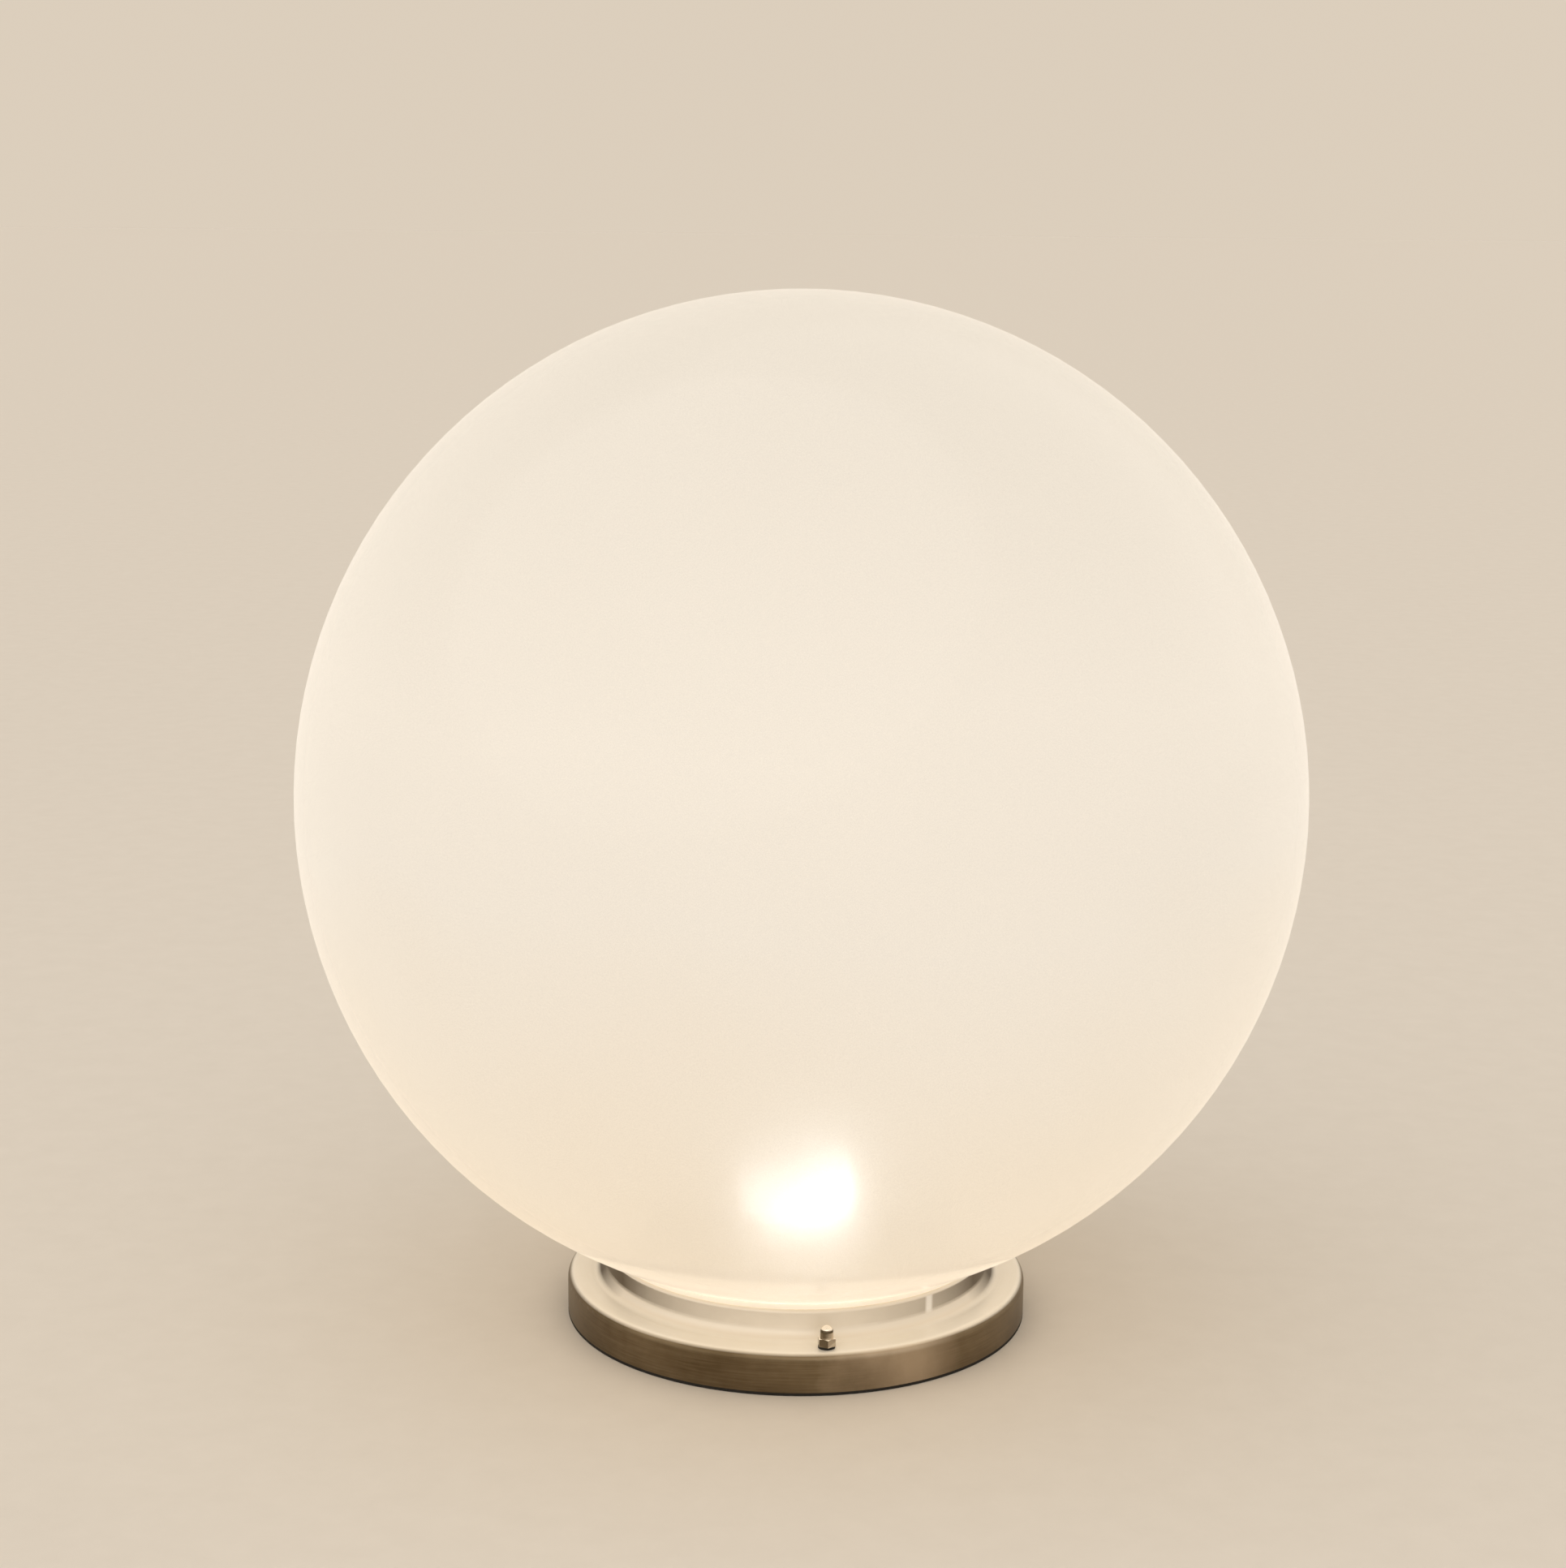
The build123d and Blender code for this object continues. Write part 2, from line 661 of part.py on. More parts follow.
insert_clamp = screw(
    clamp_head_radius, clamp_head_height, clamp_radius,
    insert_radius - wire_radius - wire_gap,
)
with BuildPart() as terminal_screws:
    with Locations((0, block_offset, insert_height + insert_radius)):
        with GridLocations(pole_pitch, 2 * clamp_spread, 3, 2):
            add(insert_clamp)
terminal_screws.part.label = "terminal_screws"
export_step(terminal_screws.part, "parts/terminal_screws.step")

# ---- block screws ----
block_screw = screw(
    block_screw_head_radius, block_screw_head_height, block_screw_radius,
    block_height - block_screw_seat + plate_thickness + screw_tail,
)
with BuildPart() as block_screws:
    with Locations((0, block_offset, block_top - block_screw_seat)):
        with GridLocations(pole_pitch, 0, 2, 1):
            add(block_screw)
block_screws.part.label = "block_screws"
export_step(block_screws.part, "parts/block_screws.step")

# ---- earth tag: ring and barrel under its own screw ----
with BuildPart() as earth_tag:
    with BuildSketch(Plane.XY.offset(plate_top)):
        with Locations(tag_place):
            Circle(tag_radius)
            Rectangle(tag_radius, tag_radius + tag_sheet, align=(Align.CENTER, Align.MIN))
            Circle(main_screw_radius + slip_gap, mode=Mode.SUBTRACT)
    extrude(amount=tag_sheet)
    with BuildSketch(Plane.XZ.offset(-tag_barrel_start)):
        with Locations((tag_place[0], tag_barrel_height)):
            Circle(tag_barrel_radius)
    extrude(amount=-tag_barrel_length)
    with BuildSketch(Plane.XZ.offset(-tag_mouth)):
        with Locations((tag_place[0], tag_barrel_height)):
            Circle(wire_radius + wire_gap)
    extrude(amount=wire_entry + wire_gap, mode=Mode.SUBTRACT)
earth_tag.part.label = "earth_tag"
export_step(earth_tag.part, "parts/earth_tag.step")

earth_screw_body = screw(
    main_head_radius, main_head_height, main_screw_radius,
    tag_sheet + plate_thickness + screw_tail,
)
with BuildPart() as earth_screw:
    with Locations((*tag_place, plate_top + tag_sheet)):
        add(earth_screw_body)
earth_screw.part.label = "earth_screw"
export_step(earth_screw.part, "parts/earth_screw.step")

# ---- live and neutral leads: from the holder's terminals to their poles ----
lead_gap = block_front - terminal_face


def holder_lead(start, end, bow):
    """Lead from the holder terminal at x = start to the pole at x = end, bowed for slack."""
    turns = [terminal_face + lead_gap * share for share in wire_turns]
    return wire(
        (start, terminal_face - wire_entry, terminal_height),
        (start, turns[0], terminal_height),
        ((start + end) / 2 + bow, turns[1], insert_height + wire_radius),
        (end, turns[2], insert_height),
        (end, block_front + wire_entry, insert_height),
    )


live_path = holder_lead(-holder_terminal_spread, -pole_pitch, -wire_slack)
with BuildPart() as live_lead:
    add(live_path)
live_lead.part.label = "live_lead"
export_step(live_lead.part, "parts/live_lead.step")

neutral_path = holder_lead(holder_terminal_spread, 0, wire_slack)
with BuildPart() as neutral_lead:
    add(neutral_path)
neutral_lead.part.label = "neutral_lead"
export_step(neutral_lead.part, "parts/neutral_lead.step")

# ---- earth lead: from its pole, in an arch, down to the tag ----
earth_places = [terminal_face + lead_gap * share for share in earth_turns]
earth_path = wire(
    (pole_pitch, block_front + wire_entry, insert_height),
    (pole_pitch, earth_places[0], insert_height),
    ((pole_pitch + tag_place[0]) / 2, earth_places[1], insert_height + earth_arch),
    (tag_place[0], earth_places[2], insert_height),
    (tag_place[0], tag_mouth + wire_entry, tag_barrel_height),
    (tag_place[0], tag_mouth - wire_entry, tag_barrel_height),
)
with BuildPart() as earth_lead:
    add(earth_path)
earth_lead.part.label = "earth_lead"
export_step(earth_lead.part, "parts/earth_lead.step")

# ---- cable grommet: rubber inlet that grips the plate on both sides ----
with BuildPart() as cable_grommet:
    with BuildSketch(Plane.XZ):
        with BuildLine():
            Polyline(
                (cable_radius, gasket_thickness - grommet_flange_height),
                (grommet_radius + grommet_flange, gasket_thickness - grommet_flange_height),
                (grommet_radius + grommet_flange, gasket_thickness),
                (grommet_radius - slip_gap, gasket_thickness),
                (grommet_radius - slip_gap, plate_top),
                (grommet_radius + grommet_flange, plate_top),
                (grommet_radius, plate_top + grommet_flange_height),
                (cable_radius + grommet_wall / 2, plate_top + grommet_flange_height + grommet_nose),
                (cable_radius, plate_top + grommet_flange_height + grommet_nose),
                close=True,
            )
        make_face()
    grommet_body = revolve(axis=Axis.Z, mode=Mode.PRIVATE)
    with Locations((0, cable_offset)):
        add(grommet_body)
cable_grommet.part.label = "cable_grommet"
export_step(cable_grommet.part, "parts/cable_grommet.step")

# ---- lamp contact: domed button at the end of the cap ----
with BuildPart() as bulb_contact:
    with BuildSketch(Plane.XZ):
        with BuildLine():
            button_dome = TangentArc((0, contact_level), (button_radius, insulator_base), tangent=(1, 0))
            Polyline(button_dome @ 1, (0, insulator_base), button_dome @ 0)
        make_face()
    revolve(axis=Axis.Z)
bulb_contact.part.label = "bulb_contact"
export_step(bulb_contact.part, "parts/bulb_contact.step")

# ---- lamp insulator: black cone between contact and cap ----
with BuildPart() as bulb_insulator:
    with BuildSketch(Plane.XZ):
        with BuildLine():
            Polyline(
                (0, insulator_base),
                (insulator_foot, insulator_base),
                (cap_bore - slip_gap, thread_bottom),
                (cap_bore - slip_gap, thread_bottom + insulator_plug),
                (0, thread_bottom + insulator_plug),
                close=True,
            )
        make_face()
    revolve(axis=Axis.Z)
bulb_insulator.part.label = "bulb_insulator"
export_step(bulb_insulator.part, "parts/bulb_insulator.step")

# ---- lamp cap: sleeve with rounded thread ridges and a plain rim ----
with BuildPart() as bulb_cap:
    with BuildSketch(Plane.XZ):
        with Locations((cap_bore, thread_bottom)):
            Rectangle(cap_sheet, cap_top - thread_bottom, align=Align.MIN)
        with Locations((cap_bore, thread_top)):
            Rectangle(thread_crest - cap_bore, cap_rim, align=Align.MIN)
        for turn in range(thread_turns):
            with Locations((thread_root, thread_bottom + (turn + 0.5) * thread_pitch)):
                Circle(thread_crest - thread_root)
        with Locations((cap_bore, thread_bottom)):
            Rectangle(cap_bore, cap_top - thread_bottom, align=(Align.MAX, Align.MIN), mode=Mode.SUBTRACT)
    revolve(axis=Axis.Z)
bulb_cap.part.label = "bulb_cap"
export_step(bulb_cap.part, "parts/bulb_cap.step")

# ---- lamp housing: flared shell from the cap up to the diffuser, with a ledge for the light board ----
with BuildPart() as bulb_housing:
    with BuildSketch(Plane.XZ):
        with BuildLine():
            flare = SagittaArc((thread_crest, cap_top), (dome_mouth, dome_bottom), housing_bulge)
            Polyline(
                flare @ 1,
                (board_radius + slip_gap, dome_bottom),
                (board_radius + slip_gap, board_base),
                (board_radius - board_ledge, board_base),
                (cap_bore - slip_gap - housing_wall, cap_top),
                (cap_bore - slip_gap - housing_wall, cap_top - housing_plug),
                (cap_bore - slip_gap, cap_top - housing_plug),
                (cap_bore - slip_gap, cap_top),
                flare @ 0,
            )
        make_face()
    revolve(axis=Axis.Z)
bulb_housing.part.label = "bulb_housing"
export_step(bulb_housing.part, "parts/bulb_housing.step")

# ---- lamp diffuser: opal ball, open at the bottom ----
with BuildPart() as bulb_dome:
    with BuildSketch(Plane.XZ):
        with Locations((0, dome_centre)):
            Circle(dome_radius)
            Circle(dome_inner, mode=Mode.SUBTRACT)
        with Locations((0, dome_bottom)):
            Rectangle(2 * dome_radius, dome_radius, align=(Align.CENTER, Align.MAX), mode=Mode.SUBTRACT)
        split(bisect_by=Plane.YZ)
    revolve(axis=Axis.Z)
bulb_dome.part.label = "bulb_dome"
export_step(bulb_dome.part, "parts/bulb_dome.step")

# ---- light board and its chips ----
with BuildPart() as led_board:
    with BuildSketch(Plane.XY.offset(board_base)):
        Circle(board_radius)
    extrude(amount=board_thickness)
led_board.part.label = "led_board"
export_step(led_board.part, "parts/led_board.step")

with BuildPart() as led_chips:
    with BuildSketch(Plane.XY.offset(dome_bottom)):
        with PolarLocations(chip_circle, chip_count):
            Rectangle(chip_size, chip_size)
    extrude(amount=chip_height)
led_chips.part.label = "led_chips"
export_step(led_chips.part, "parts/led_chips.step")

# ---- driver board under the light board, with its capacitor ----
with BuildPart() as driver_board:
    with BuildSketch(Plane.XY.offset(board_base)):
        Rectangle(driver_width, driver_thickness)
    extrude(amount=-driver_height)
driver_board.part.label = "driver_board"
export_step(driver_board.part, "parts/driver_board.step")

with BuildPart() as driver_capacitor:
    with BuildSketch(Plane.XY.offset(board_base - capacitor_drop)):
        with Locations((0, driver_thickness / 2 + slip_gap + capacitor_radius)):
            Circle(capacitor_radius)
    extrude(amount=-capacitor_length)
driver_capacitor.part.label = "driver_capacitor"
export_step(driver_capacitor.part, "parts/driver_capacitor.step")
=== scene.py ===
import math

import bpy
from mathutils import Matrix, Vector

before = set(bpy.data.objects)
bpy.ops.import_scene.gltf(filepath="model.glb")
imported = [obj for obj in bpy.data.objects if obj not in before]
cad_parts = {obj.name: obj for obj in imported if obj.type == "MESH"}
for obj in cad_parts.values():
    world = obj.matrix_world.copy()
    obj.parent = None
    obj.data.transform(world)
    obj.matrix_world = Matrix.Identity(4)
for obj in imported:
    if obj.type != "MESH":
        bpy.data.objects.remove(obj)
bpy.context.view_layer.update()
scene = bpy.context.scene
scene.view_settings.view_transform = "Standard"

black = (0.0, 0.0, 0.0, 1.0)

# ---- places on the light, in metres and radians ----
underside = (0.03, 0.085)           # heights between which the globe's bright underside fades out
warm_fade = (0.08, 0.26)            # the same for its warm lower part
top_fade = (0.34, 0.52)             # and for the step to its dimmer top
cloud_reach = 0.06                  # how far soft clouds shift those fades
collar_reach = 0.106                # radius that parts the collar and its cove from the cover
sheen_angle = 1.1                    # middle of the skirt's lighter patch of painted sheen, to the right of +X
sheen_spread = (0.05, 0.33)
highlight_angle = 0.84                   # painted highlight streak on the collar wall, counted the same way
highlight_spread = (0.012, 0.03)
lamp_radius = 0.03
lamp_slant = 0.17                   # the lit part of the dome rises by this share towards +X
lamp_fade = (0.056, 0.086)          # heights between which the dome's light fades out
housing_fade = (0.04, 0.052)        # heights between which the housing catches that light
floor_reach = 60.0
floor_level = -0.0002               # just clear of the gasket's underside


# ---- shader building ----
def made(tree, kind, inputs=None, **settings):
    """New shader node. inputs gives each socket a value or another node's output."""
    new = tree.nodes.new("ShaderNode" + kind)
    for key, value in settings.items():
        setattr(new, key, value)
    for key, value in (inputs or {}).items():
        if isinstance(value, bpy.types.NodeSocket):
            tree.links.new(value, new.inputs[key])
        else:
            new.inputs[key].default_value = value
    return new


def maths(tree, operation, *values):
    return made(tree, "Math", dict(enumerate(values)), operation=operation).outputs[0]


def vector_maths(tree, operation, *values):
    return made(tree, "VectorMath", dict(enumerate(values)), operation=operation).outputs


def split(tree, vector):
    """The three parts of a vector."""
    return made(tree, "SeparateXYZ", {"Vector": vector}).outputs


def noise(tree, vector, scale, detail=4.0, roughness=0.5):
    settings = {"Vector": vector, "Scale": scale, "Detail": detail, "Roughness": roughness}
    return made(tree, "TexNoise", settings).outputs["Fac"]


def ranged(tree, value, from_low, from_high, to_low, to_high):
    """value carried from one range to another, held at the ends."""
    settings = {
        "Value": value, "From Min": from_low, "From Max": from_high, "To Min": to_low, "To Max": to_high,
    }
    return made(tree, "MapRange", settings).outputs["Result"]


def rising(tree, value, low, high):
    return ranged(tree, value, low, high, 0.0, 1.0)


def falling(tree, value, low, high):
    return ranged(tree, value, low, high, 1.0, 0.0)


def mixed(tree, factor, first, second):
    """Colour between first and second."""
    new = made(tree, "Mix", {0: factor, 6: first, 7: second}, data_type="RGBA")
    return new.outputs[2]


def bumped(tree, height, distance):
    return made(tree, "Bump", {"Height": height, "Distance": distance, "Strength": 1.0}).outputs["Normal"]


def socket_title(name):
    return name.replace("_", " ").title().replace("Ior", "IOR")


def blank(name, **fixed):
    """Material with one Principled shader whose fixed sockets are set: (material, tree, shader, place)."""
    material = bpy.data.materials.new(name)
    material.use_nodes = True
    tree = material.node_tree
    shader = tree.nodes["Principled BSDF"]
    for socket, value in fixed.items():
        shader.inputs[socket_title(socket)].default_value = value
    return material, tree, shader, made(tree, "TexCoord").outputs["Object"]


def feed(tree, shader, **sources):
    """Links each source to the shader's socket of that name."""
    for socket, source in sources.items():
        tree.links.new(source, shader.inputs[socket_title(socket)])


def colour(red, green, blue):
    return (red, green, blue, 1.0)


def mottled(name, dark, light, scale, rough, bump, grain=None, **fixed):
    """Surface with soft patches between two colours, uneven gloss and a fine grain."""
    material, tree, shader, place = blank(name, **fixed)
    patches = noise(tree, place, scale, 6.0, 0.6)
    fine = noise(tree, place, grain or scale * 9, 3.0, 0.6)
    feed(
        tree, shader,
        base_color=mixed(tree, rising(tree, patches, 0.3, 0.7), dark, light),
        roughness=ranged(tree, fine, 0.3, 0.7, *rough),
        normal=bumped(tree, fine, bump),
    )
    return material


def flat_part(tree, place):
    """(east, north, vector) of a place, without its height."""
    east, north = split(tree, place)[:2]
    return east, north, made(tree, "CombineXYZ", {"X": east, "Y": north}).outputs[0]


def round_place(tree, place, turns, lines):
    """Coordinates that run round the Z axis and across it, so that noise makes long circular streaks."""
    east, north, height = split(tree, place)
    squares = maths(tree, "ADD", maths(tree, "MULTIPLY", east, east), maths(tree, "MULTIPLY", north, north))
    radius = maths(tree, "SQRT", squares)
    safe = maths(tree, "MAXIMUM", radius, 0.0001)
    return made(tree, "CombineXYZ", {
        "X": maths(tree, "MULTIPLY", maths(tree, "DIVIDE", east, safe), turns),
        "Y": maths(tree, "MULTIPLY", maths(tree, "DIVIDE", north, safe), turns),
        "Z": maths(tree, "MULTIPLY", maths(tree, "SUBTRACT", height, radius), lines),
    }).outputs[0]


# ---- materials ----
def opal_globe():
    """Opal moulding with a soft light of its own, which lets the lamp through as a soft spot."""
    material, tree, shader, place = blank(
        "opal_globe", specular_ior_level=0.2, ior=1.49, transmission_weight=0.45, emission_strength=0.6
    )
    height = split(tree, place)[2]
    clouds = noise(tree, place, 5.0, 3.0, 0.5)
    wavy = maths(tree, "ADD", height, ranged(tree, clouds, 0.0, 1.0, -cloud_reach, cloud_reach))
    glow = mixed(tree, rising(tree, wavy, *warm_fade), colour(0.67, 0.57, 0.44), colour(0.65, 0.61, 0.55))
    glow = mixed(tree, rising(tree, wavy, *top_fade), glow, colour(0.53, 0.5, 0.45))
    glow = mixed(tree, rising(tree, height, *underside), colour(0.83, 0.71, 0.57), glow)
    grain = noise(tree, place, 900.0, 2.0, 0.5)
    scatter = noise(tree, place, 9000.0, 1.0, 0.5)
    feed(
        tree, shader,
        base_color=mixed(tree, clouds, colour(0.44, 0.41, 0.365), colour(0.48, 0.45, 0.4)),
        roughness=ranged(tree, scatter, 0.42, 0.58, 0.08, 0.36),
        normal=bumped(tree, grain, 0.00001),
        emission_color=glow,
    )
    return material


def spun_steel():
    """Stainless sheet with circular brushing and painted light: land painted near white as partly painted
    reflection of the globe, collar with painted sheen to the front and back and painted shade to the sides,
    skirt painted dark as painted reflection of dark surroundings.
    """
    material, tree, shader, place = blank("spun_steel", anisotropic=0.3)
    streaks = noise(tree, round_place(tree, place, 4.0, 1100.0), 1.0, 5.0, 0.65)
    lines = noise(tree, round_place(tree, place, 9.0, 5200.0), 1.0, 2.0, 0.5)
    clouds = noise(tree, place, 16.0, 5.0, 0.6)
    varied = rising(tree, maths(tree, "ADD", clouds, maths(tree, "MULTIPLY", streaks, 0.6)), 0.6, 1.0)
    upward = split(tree, made(tree, "NewGeometry").outputs["Normal"])[2]
    east, north, flat = flat_part(tree, place)
    radius = vector_maths(tree, "LENGTH", flat)["Value"]
    angle = maths(tree, "ARCTAN2", north, east)

    # skirt, painted dark brown as painted reflection of dark surroundings, with one lighter patch of painted
    # sheen
    wavy = maths(tree, "ADD", angle, ranged(tree, clouds, 0.2, 0.8, -0.15, 0.15))
    # painted sheen: a lighter patch on the skirt, to the right of +X
    painted_sheen = falling(tree, maths(tree, "ABSOLUTE", maths(tree, "ADD", wavy, sheen_angle)), *sheen_spread)
    skirt = mixed(tree, varied, colour(0.125, 0.09, 0.05), colour(0.235, 0.18, 0.112))
    skirt = mixed(tree, painted_sheen, skirt, colour(0.46, 0.37, 0.27))
    # land: near-white colour, with the lowered metallic below, is partly painted reflection of the globe
    land = mixed(tree, varied, colour(0.96, 0.92, 0.83), colour(1.0, 0.97, 0.9))

    # collar wall: painted sheen to the front and back, painted shade to the sides, with a painted highlight
    # streak
    facing = maths(tree, "DIVIDE", maths(tree, "ABSOLUTE", north), maths(tree, "MAXIMUM", radius, 0.0001))
    cloudy = maths(tree, "ADD", facing, ranged(tree, clouds, 0.2, 0.8, -0.08, 0.08))
    wall = mixed(tree, rising(tree, cloudy, 0.45, 1.03), colour(0.11, 0.082, 0.05), colour(0.94, 0.88, 0.78))
    # painted highlight: a narrow bright streak on the collar wall
    painted_highlight = falling(tree, maths(tree, "ABSOLUTE", maths(tree, "ADD", angle, highlight_angle)), *highlight_spread)
    wall = mixed(tree, painted_highlight, wall, colour(1.0, 0.98, 0.94))
    # cove: painted shade to the sides, painted sheen to the front and back
    cove = mixed(tree, rising(tree, facing, 0.15, 0.5), colour(0.1, 0.075, 0.045), colour(0.88, 0.82, 0.72))
    inside = mixed(tree, rising(tree, upward, 0.02, 0.3), wall, cove)
    level = rising(tree, upward, 0.8, 0.99)
    inside = mixed(tree, level, inside, land)

    outside = mixed(tree, rising(tree, upward, 0.62, 0.93), skirt, land)
    inner = maths(tree, "LESS_THAN", radius, collar_reach)
    bright = maths(tree, "MAXIMUM", inner, level)
    uneven = ranged(tree, streaks, 0.3, 0.7, 0.0, 0.08)
    feed(
        tree, shader,
        base_color=mixed(tree, inner, outside, inside),
        metallic=ranged(tree, bright, 0.0, 1.0, 1.0, 0.4),
        roughness=maths(tree, "ADD", uneven, ranged(tree, bright, 0.0, 1.0, 0.34, 0.4)),
        normal=bumped(tree, lines, 0.00001),
        tangent=made(tree, "Tangent", direction_type="RADIAL", axis="Z").outputs[0],
    )
    return material


def polished_steel():
    """Polished nuts with painted reflections: painted highlight on crowns and chamfers, painted shade on
    flanks, the left ones most, and a dark painted ring round each crown.
    """
    material, tree, shader, place = blank("bright_steel", metallic=1.0)
    normal = made(tree, "NewGeometry").outputs["Normal"]
    upward = split(tree, normal)[2]
    flat = flat_part(tree, place)[2]
    outward = vector_maths(tree, "NORMALIZE", flat)[0]
    rightward = vector_maths(tree, "CROSS_PRODUCT", (0.0, 0.0, 1.0), outward)[0]
    right = vector_maths(tree, "DOT_PRODUCT", normal, rightward)["Value"]
    out = vector_maths(tree, "DOT_PRODUCT", normal, outward)["Value"]
    patches = noise(tree, place, 260.0, 4.0, 0.6)
    side = maths(tree, "ADD", right, ranged(tree, patches, 0.3, 0.7, -0.2, 0.2))
    # flanks: painted shade to the left, painted sheen to the right
    flank = mixed(tree, rising(tree, side, -0.35, 0.35), colour(0.17, 0.135, 0.09), colour(0.52, 0.45, 0.36))
    flank = mixed(tree, rising(tree, out, -0.1, 0.1), colour(0.9, 0.84, 0.74), flank)
    # painted shade: a dark ring where the crown meets the flank
    brow = falling(tree, maths(tree, "ABSOLUTE", maths(tree, "SUBTRACT", upward, 0.22)), 0.1, 0.16)
    flank = mixed(tree, brow, flank, colour(0.12, 0.095, 0.06))
    feed(
        tree, shader,
        # crowns: painted highlight
        base_color=mixed(tree, rising(tree, upward, 0.4, 0.5), flank, colour(0.98, 0.94, 0.86)),
        roughness=ranged(tree, patches, 0.3, 0.7, 0.05, 0.12),
    )
    return material


def striped_wire():
    """Green insulation with a yellow stripe that winds round it."""
    material, tree, shader, place = blank("wire_green", roughness=0.32, coat_weight=0.2)
    wave = made(tree, "TexWave", {
        "Vector": place, "Scale": 70.0, "Distortion": 2.0, "Detail": 1.0, "Detail Scale": 1.0,
    }, wave_type="BANDS", bands_direction="DIAGONAL").outputs["Fac"]
    stripe = rising(tree, wave, 0.58, 0.64)
    feed(
        tree, shader,
        base_color=mixed(tree, stripe, colour(0.1, 0.36, 0.06), colour(0.85, 0.7, 0.05)),
        normal=bumped(tree, noise(tree, place, 1500.0), 0.00002),
    )
    return material


def circuit_board():
    """Green board with paler copper tracks under the lacquer."""
    material, tree, shader, place = blank("board_green", coat_weight=0.3)
    upright = made(tree, "Mapping", {"Vector": place, "Rotation": (math.pi / 2, 0.0, 0.0)}).outputs[0]
    tracks = made(tree, "TexBrick", {
        "Vector": upright, "Color1": colour(0.02, 0.16, 0.06), "Color2": colour(0.03, 0.2, 0.08),
        "Mortar": colour(0.1, 0.38, 0.16), "Scale": 160.0, "Mortar Size": 0.05,
    }).outputs["Color"]
    gloss = ranged(tree, noise(tree, place, 700.0), 0.3, 0.7, 0.25, 0.4)
    feed(tree, shader, base_color=tracks, roughness=gloss)
    return material


def lit_diffuser():
    """Lamp's opal dome, shining, brightest just above its board and towards one side."""
    material, tree, shader, place = blank("lamp_diffuser", emission_strength=28.0, roughness=0.35)
    east, _, height = split(tree, place)
    patches = noise(tree, place, 60.0, 3.0, 0.5)
    slanted = maths(tree, "SUBTRACT", height, maths(tree, "MULTIPLY", east, lamp_slant))
    sideways = ranged(tree, east, -lamp_radius, lamp_radius, 0.45, 1.0)
    lit = maths(tree, "MULTIPLY", ranged(tree, slanted, *lamp_fade, 1.0, 0.04), sideways)
    feed(
        tree, shader,
        base_color=mixed(tree, patches, colour(0.9, 0.88, 0.84), colour(0.94, 0.92, 0.88)),
        emission_color=mixed(tree, lit, black, colour(0.8, 0.87, 1.0)),
    )
    return material


def lamp_housing():
    """Lamp's white moulded neck, which the dome lights through its upper edge."""
    material, tree, shader, place = blank("lamp_white", emission_strength=9.0)
    height = split(tree, place)[2]
    patches = noise(tree, place, 80.0, 6.0, 0.6)
    fine = noise(tree, place, 720.0, 3.0, 0.6)
    edge = ranged(tree, height, *housing_fade, 0.03, 1.0)
    feed(
        tree, shader,
        base_color=mixed(tree, patches, colour(0.82, 0.81, 0.78), colour(0.88, 0.87, 0.85)),
        roughness=ranged(tree, fine, 0.3, 0.7, 0.3, 0.4),
        normal=bumped(tree, fine, 0.00002),
        emission_color=mixed(tree, edge, black, colour(0.87, 0.88, 1.0)),
    )
    return material


def floor_surface():
    """Plain pale floor with a faint grain."""
    material, tree, shader, place = blank("studio_floor", roughness=0.7, specular_ior_level=0.2)
    grain = noise(tree, place, 45.0, 8.0, 0.65)
    feed(tree, shader, base_color=mixed(tree, grain, colour(0.68, 0.63, 0.56), colour(0.74, 0.69, 0.62)))
    return material


zinc = mottled(
    "zinc_steel", colour(0.5, 0.52, 0.53), colour(0.72, 0.73, 0.72), 45.0, (0.3, 0.48), 0.00001, metallic=1.0
)
spring = mottled(
    "spring_steel", colour(0.36, 0.36, 0.37), colour(0.52, 0.52, 0.53), 60.0, (0.24, 0.36), 0.00001,
    metallic=1.0,
)
rubber = mottled(
    "black_rubber", colour(0.009, 0.008, 0.006), colour(0.02, 0.017, 0.013), 40.0, (0.6, 0.82), 0.00004,
    grain=1600.0, specular_ior_level=0.3,
)
# the seal's cream emission is painted glow, standing in for the globe's light passing through it and lifting
# the shade in the gap under the globe
silicone = mottled(
    "clear_silicone", colour(0.72, 0.68, 0.6), colour(0.82, 0.78, 0.7), 30.0, (0.38, 0.5), 0.00001,
    transmission_weight=0.25, ior=1.41, emission_color=colour(1.0, 0.86, 0.68), emission_strength=0.35,
)
porcelain = mottled(
    "porcelain", colour(0.8, 0.78, 0.73), colour(0.88, 0.865, 0.82), 50.0, (0.1, 0.2), 0.00002,
    coat_weight=0.4, coat_roughness=0.05,
)
brass = mottled(
    "brass", colour(0.56, 0.38, 0.14), colour(0.84, 0.64, 0.32), 70.0, (0.2, 0.34), 0.00001, metallic=1.0
)
nylon = mottled("nylon", colour(0.74, 0.72, 0.64), colour(0.84, 0.82, 0.75), 60.0, (0.4, 0.55), 0.00002)
brown_wire = mottled(
    "wire_brown", colour(0.13, 0.05, 0.02), colour(0.2, 0.08, 0.035), 200.0, (0.28, 0.42), 0.00002
)
blue_wire = mottled(
    "wire_blue", colour(0.02, 0.09, 0.38), colour(0.04, 0.15, 0.5), 200.0, (0.28, 0.42), 0.00002
)
nickel = mottled(
    "lamp_cap", colour(0.6, 0.57, 0.52), colour(0.76, 0.73, 0.68), 110.0, (0.16, 0.3), 0.00001, metallic=1.0
)
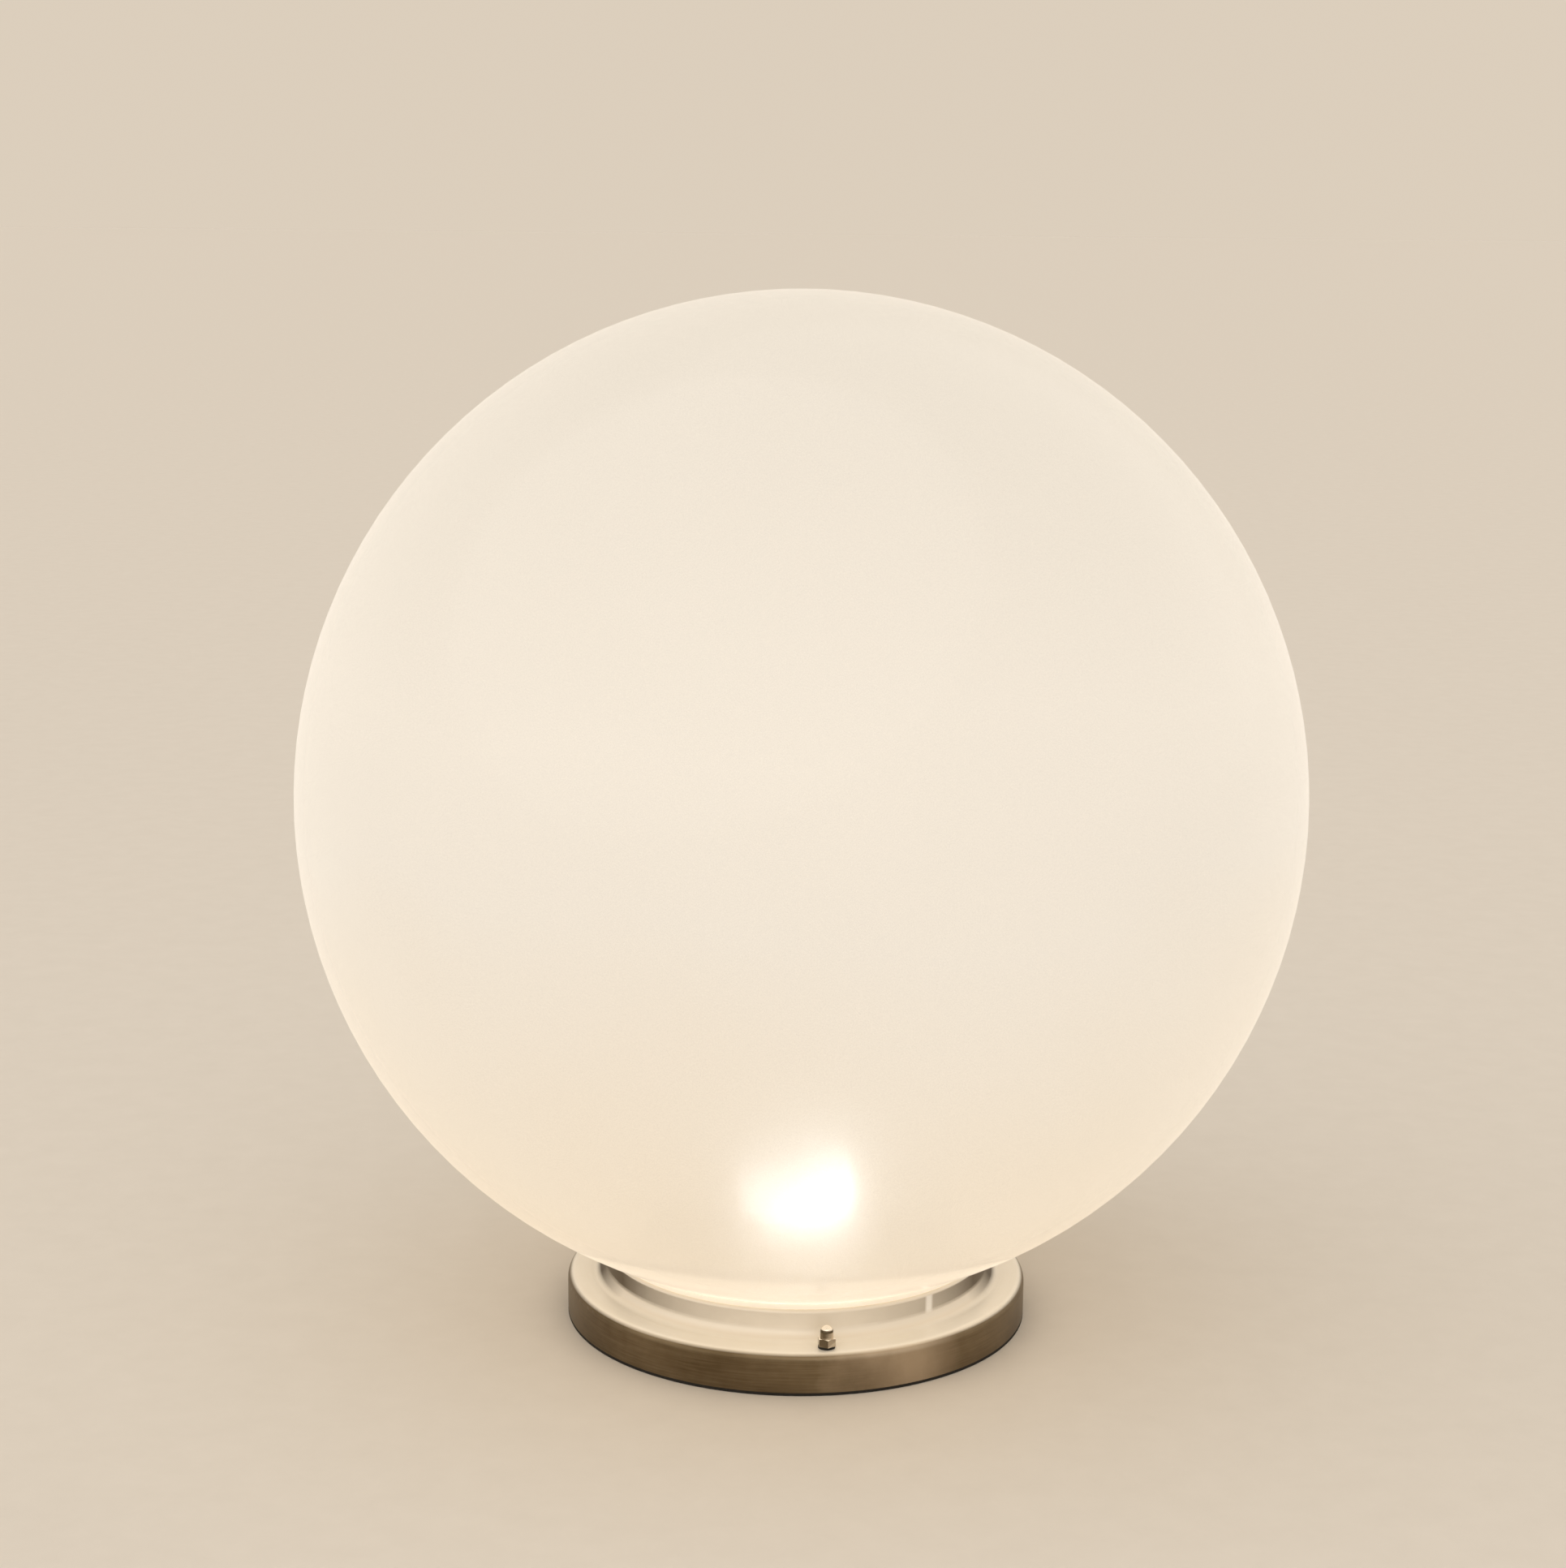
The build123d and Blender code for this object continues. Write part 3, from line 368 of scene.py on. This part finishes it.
lamp_black = mottled(
    "lamp_black", colour(0.012, 0.012, 0.014), colour(0.03, 0.03, 0.034), 90.0, (0.2, 0.35), 0.00001
)
light_board = mottled(
    "light_board", colour(0.76, 0.76, 0.74), colour(0.84, 0.84, 0.82), 150.0, (0.35, 0.5), 0.00001
)
phosphor = mottled("chip_yellow", colour(0.8, 0.58, 0.1), colour(0.9, 0.72, 0.2), 900.0, (0.3, 0.45), 0.00001)
sleeve = mottled(
    "capacitor_black", colour(0.015, 0.016, 0.02), colour(0.04, 0.042, 0.05), 160.0, (0.22, 0.36), 0.00001
)

finishes = {
    opal_globe(): ["globe", "globe_neck"],
    spun_steel(): ["base_cover", "base_collar"],
    polished_steel(): ["cap_nuts", "stud_bolts", "clip_rivets"],
    zinc: [
        "mounting_plate", "spacer_sleeves", "holder_screws", "holder_terminal_screws", "terminal_screws",
        "block_screws", "earth_screw",
    ],
    spring: ["neck_clips"],
    rubber: ["floor_gasket", "nut_washers", "cable_grommet"],
    silicone: ["globe_seal"],
    porcelain: ["lampholder_body"],
    brass: ["lampholder_shell", "lampholder_contact", "holder_terminals", "terminal_inserts", "earth_tag"],
    nylon: ["terminal_block"],
    brown_wire: ["live_lead"],
    blue_wire: ["neutral_lead"],
    striped_wire(): ["earth_lead"],
    nickel: ["bulb_cap", "bulb_contact"],
    lamp_black: ["bulb_insulator"],
    lamp_housing(): ["bulb_housing"],
    lit_diffuser(): ["bulb_dome"],
    light_board: ["led_board"],
    phosphor: ["led_chips"],
    circuit_board(): ["driver_board"],
    sleeve: ["driver_capacitor"],
}
for finish, names in finishes.items():
    for name in names:
        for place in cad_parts[name].material_slots:
            place.material = finish


# ---- stage: floor, world, lights and camera ----
corners = [(-1, -1), (1, -1), (1, 1), (-1, 1)]
floor_mesh = bpy.data.meshes.new("floor")
floor_mesh.from_pydata(
    [(floor_reach * east, floor_reach * north, floor_level) for east, north in corners], [], [(0, 1, 2, 3)]
)
floor_mesh.materials.append(floor_surface())
floor = bpy.data.objects.new("floor", floor_mesh)
scene.collection.objects.link(floor)

# the camera, mirrors and glass see the world in the far floor's tone; its light is a little dimmer
world = bpy.data.worlds.new("studio")
world.use_nodes = True
sky = world.node_tree
rays = made(sky, "LightPath").outputs
mirrored = maths(sky, "MAXIMUM", rays["Is Glossy Ray"], rays["Is Transmission Ray"])
seen = maths(sky, "MAXIMUM", rays["Is Camera Ray"], mirrored)
backdrop = mixed(sky, seen, colour(0.56, 0.51, 0.45), colour(0.7155, 0.6208, 0.5057))
sky.links.new(backdrop, sky.nodes["Background"].inputs["Color"])
scene.world = world


def soft_sun(name, strength, spread, toward):
    """Sun with a wide soft disc, shining along toward."""
    light = bpy.data.lights.new(name, "SUN")
    light.energy = strength
    light.angle = math.radians(spread)
    light.color = (1.0, 0.96, 0.91)
    lamp = bpy.data.objects.new(name, light)
    lamp.rotation_euler = Vector(toward).to_track_quat("-Z", "Y").to_euler()
    scene.collection.objects.link(lamp)


soft_sun("key_light", 1.1, 110.0, (0.6, 0.8, -1.5))
soft_sun("fill_light", 0.55, 140.0, (-0.9, 0.4, -1.3))


def turned(degrees, axis):
    return Matrix.Rotation(math.radians(degrees), 4, axis)


camera_place = (0.0, -1.3905, 0.5571)
camera_turn = 0.37
camera_dip = 11.48                  # below level
camera_roll = 0.53
camera_data = bpy.data.cameras.new("camera")
camera_data.sensor_width = 36.0
camera_data.lens = 65.22
camera = bpy.data.objects.new("camera", camera_data)
camera.matrix_world = (
    Matrix.Translation(camera_place)
    @ turned(camera_turn, "Z")
    @ turned(90.0 - camera_dip, "X")
    @ turned(camera_roll, "Z")
)
scene.collection.objects.link(camera)
scene.camera = camera
